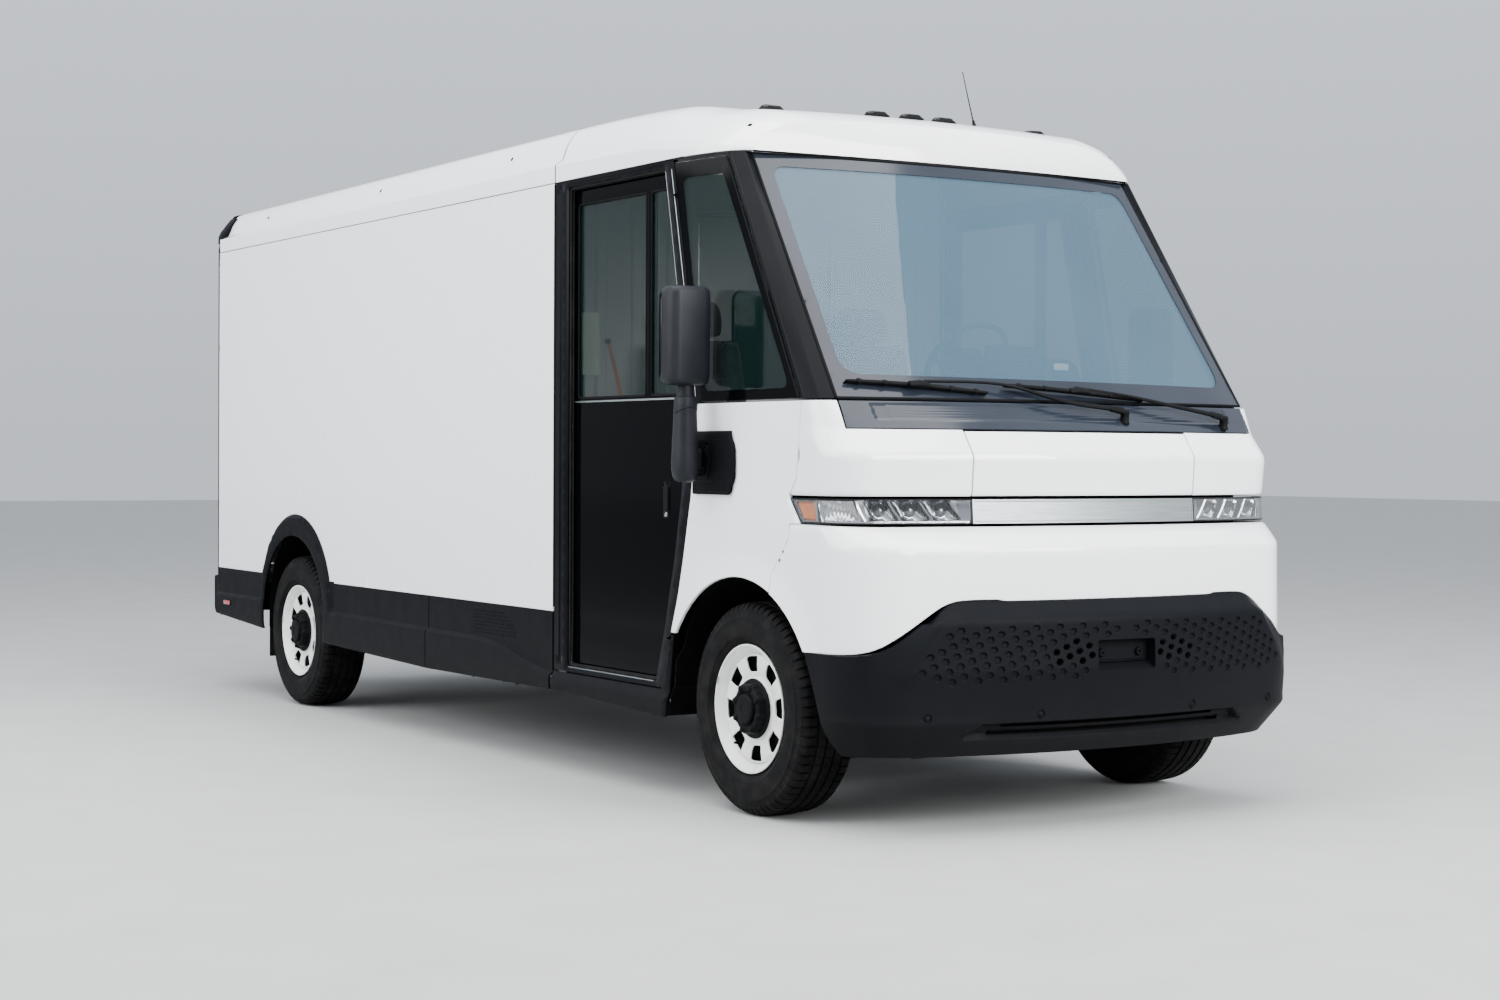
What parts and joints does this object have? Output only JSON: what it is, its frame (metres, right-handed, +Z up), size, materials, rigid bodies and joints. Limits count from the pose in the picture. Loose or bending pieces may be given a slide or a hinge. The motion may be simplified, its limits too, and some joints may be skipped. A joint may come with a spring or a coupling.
{
  "type": "electric delivery van",
  "caption": "Walk-in battery-electric delivery van with a hollow cab and load space, sliding cab doors, steered front wheels, lifting hood and roll-up rear door.",
  "frame": {"origin": "on the ground under the middle of the van's box", "axes": "+Z up, the nose faces -Y, the van's left side is +X"},
  "size_m": [2.544, 6.9576, 3.0046],
  "materials": {
    "white_paint": "gloss white paint",
    "black_gloss": "gloss black panels and glass edge bands",
    "dark_trim": "grained dark grey plastic",
    "frame_steel": "satin black chassis paint",
    "axle_iron": "bare and painted castings",
    "pack_case": "satin grey coated case",
    "wheel_paint": "white painted steel",
    "tyre": "black rubber, treaded",
    "clear_glass": "clear glass with a light green tint",
    "privacy_glass": "tinted glass",
    "lamp_lens": "clear lens",
    "lamp_chrome": "bright reflector",
    "bar_metal": "brushed grey panel",
    "red_lens": "red lamp lens",
    "cab_plastic": "soft grained black plastic",
    "seat_cloth": "woven charcoal cloth",
    "floor_metal": "ribbed load floor",
    "liner_grey": "light grey painted panel"
  },
  "bodies": {
    "body": {"frame_rails": "frame_steel", "cross_members": "frame_steel", "battery_pack": "pack_case", "rear_axle": "axle_iron", "drive_unit": "pack_case", "leaf_springs": "frame_steel", "front_suspension": "axle_iron", "cab_floor": "cab_plastic", "cargo_floor": "floor_metal", "cargo_walls": "white_paint", "cargo_roof": "white_paint", "cab_roof": "white_paint", "windshield": "clear_glass", "windshield_frame": "black_gloss", "cowl_panel": "black_gloss", "quarter_glass": "clear_glass", "front_corners": "white_paint", "light_bar": "bar_metal", "headlamp_lenses": "lamp_lens", "headlamp_housings": "lamp_chrome", "front_panel": "white_paint", "front_bumper": "dark_trim", "fenders": "white_paint", "door_frames": "black_gloss", "side_skirts": "dark_trim", "mud_flaps": "dark_trim", "bulkhead": "liner_grey", "rear_frame": "black_gloss", "rear_door": "white_paint", "rear_bumper": "dark_trim", "tail_lamps": "red_lens", "marker_lamps": "black_gloss", "antenna": "dark_trim", "mirror_mounts": "dark_trim", "wipers": "dark_trim", "seat_bases": "frame_steel", "seats": "seat_cloth", "steering_column": "cab_plastic", "dashboard": "cab_plastic"},
    "knuckle_left": {"knuckle_left": "axle_iron"},
    "knuckle_right": {"knuckle_right": "axle_iron"},
    "steering_wheel": {"steering_wheel": "cab_plastic"},
    "door_left": {"sliding_door_left": "black_gloss", "door_glass_left": "clear_glass"},
    "door_right": {"sliding_door_right": "black_gloss", "door_glass_right": "clear_glass"},
    "hood": {"hood": "white_paint"},
    "mirror_left": {"mirror_left": "dark_trim"},
    "mirror_right": {"mirror_right": "dark_trim"},
    "bulkhead_door": {"bulkhead_door": "liner_grey"},
    "wheel_front_left": {"wheel_front_left": "wheel_paint", "tyre_front_left": "tyre"},
    "wheel_front_right": {"wheel_front_right": "wheel_paint", "tyre_front_right": "tyre"},
    "wheel_rear_left": {"wheel_rear_left": "wheel_paint", "tyre_rear_left": "tyre"},
    "wheel_rear_right": {"wheel_rear_right": "wheel_paint", "tyre_rear_right": "tyre"}
  },
  "joints": [
    {"name": "steer_right", "type": "hinge", "parent": "body", "child": "knuckle_right", "pos_m": [-0.8, -2.495, 0.407], "axis": [0, 0, 1], "range_deg": [-30, 30]},
    {"name": "steer_left", "type": "hinge", "parent": "body", "child": "knuckle_left", "pos_m": [0.8, -2.495, 0.407], "axis": [0, 0, 1], "range_deg": [-30.5, 30.5]},
    {"name": "steering_wheel_turn", "type": "hinge", "parent": "body", "child": "steering_wheel", "pos_m": [0.45, -1.895, 1.785], "axis": [0, 0.766, 0.6428], "range_deg": [-452, 452]},
    {"name": "spin_front_left", "type": "hinge", "parent": "knuckle_left", "child": "wheel_front_left", "pos_m": [0.914, -2.495, 0.407], "axis": [1, 0, 0], "continuous": true},
    {"name": "spin_front_right", "type": "hinge", "parent": "knuckle_right", "child": "wheel_front_right", "pos_m": [-0.914, -2.495, 0.407], "axis": [1, 0, 0], "continuous": true},
    {"name": "spin_rear_left", "type": "hinge", "parent": "body", "child": "wheel_rear_left", "pos_m": [0.914, 2.15, 0.407], "axis": [1, 0, 0], "continuous": true},
    {"name": "spin_rear_right", "type": "hinge", "parent": "body", "child": "wheel_rear_right", "pos_m": [-0.914, 2.15, 0.407], "axis": [1, 0, 0], "continuous": true},
    {"name": "slide_door_left", "type": "slide", "parent": "body", "child": "door_left", "axis": [0, 1, 0], "range_m": [0, 0.85]},
    {"name": "slide_door_right", "type": "slide", "parent": "body", "child": "door_right", "axis": [0, 1, 0], "range_m": [0, 0.85]},
    {"name": "hood_lift", "type": "hinge", "parent": "body", "child": "hood", "pos_m": [0, -3.22, 1.462], "axis": [-1, 0, 0], "range_deg": [0, 65]},
    {"name": "fold_mirror_left", "type": "hinge", "parent": "body", "child": "mirror_left", "pos_m": [1.1, -2.227, 1.36], "axis": [0, 0, 1], "range_deg": [0, 60]},
    {"name": "fold_mirror_right", "type": "hinge", "parent": "body", "child": "mirror_right", "pos_m": [-1.1, -2.227, 1.36], "axis": [0, 0, -1], "range_deg": [0, 60]},
    {"name": "slide_bulkhead_door", "type": "slide", "parent": "body", "child": "bulkhead_door", "axis": [1, 0, 0], "range_m": [0, 0.57]}
  ],
  "couplings": [
    {"joint": "steer_left", "follows": "steer_right", "ratio": 1},
    {"joint": "steering_wheel_turn", "follows": "steer_right", "ratio": 15}
  ]
}
